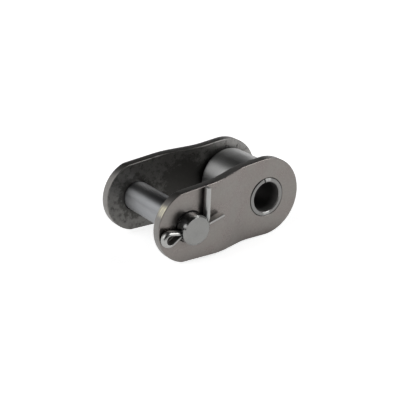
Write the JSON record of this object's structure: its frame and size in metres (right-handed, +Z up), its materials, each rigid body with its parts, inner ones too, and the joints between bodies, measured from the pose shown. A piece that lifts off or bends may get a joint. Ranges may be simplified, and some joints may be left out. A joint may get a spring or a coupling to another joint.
{
  "type": "roller chain offset link",
  "caption": "Cranked side plates joined by a curled bush with a free roller, and by a removable pin held by a split cotter, to close a roller chain of odd length.",
  "frame": {"origin": "middle of the bush's bore, half way between the plates", "axes": "+X along the link and away from the link pin, +Y along the bush towards the pin's riveted end, +Z up across the plates' height"},
  "size_m": [0.0333, 0.0227, 0.0154],
  "materials": {
    "front_plate_steel": "tumbled and oiled spring steel",
    "rear_plate_steel": "tumbled and oiled spring steel",
    "bush_steel": "smooth curled strip",
    "roller_steel": "ground and polished",
    "pin_steel": "ground",
    "cotter_steel": "drawn bright wire"
  },
  "bodies": {
    "link": {"front_plate": "front_plate_steel", "rear_plate": "rear_plate_steel", "bushing": "bush_steel", "link_pin": "pin_steel", "cotter_pin": "cotter_steel"},
    "roller": {"roller": "roller_steel"}
  },
  "joints": [
    {"name": "roller_spin", "type": "hinge", "parent": "link", "child": "roller", "pos_m": [0, 0, 0], "axis": [0, 1, 0], "continuous": true}
  ]
}
